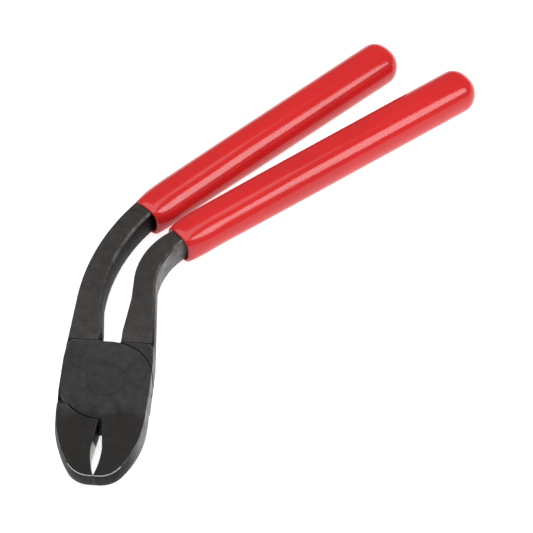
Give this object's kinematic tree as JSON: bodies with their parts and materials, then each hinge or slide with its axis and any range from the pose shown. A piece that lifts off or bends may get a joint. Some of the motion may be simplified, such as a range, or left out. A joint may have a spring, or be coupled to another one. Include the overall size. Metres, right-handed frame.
{
  "type": "running pliers",
  "caption": "Lap-joint pliers with short jaws that meet at the tips, handles bent over to one side in the plane of the tool, and dipped grips.",
  "frame": {"origin": "where the pivot axis leaves the ground underside of the head", "axes": "+Z along the pivot axis, up through the rivet, with the tool lying flat; the jaws point to -Y, the handles leave the head towards +Y and bend over towards +X"},
  "size_m": [0.1283, 0.1882, 0.0144],
  "materials": {
    "forged_steel": "black oxide, satin",
    "rivet_steel": "black oxide, ground flush",
    "dipped_vinyl": "gloss"
  },
  "bodies": {
    "lower": {"lower_lever": "forged_steel", "inner_grip": "dipped_vinyl"},
    "upper": {"upper_lever": "forged_steel", "outer_grip": "dipped_vinyl", "pivot_rivet": "rivet_steel"}
  },
  "joints": [
    {"name": "jaw_pivot", "type": "hinge", "parent": "lower", "child": "upper", "pos_m": [0, 0, 0.0055], "axis": [0, 0, 1], "range_deg": [0, 20]}
  ]
}
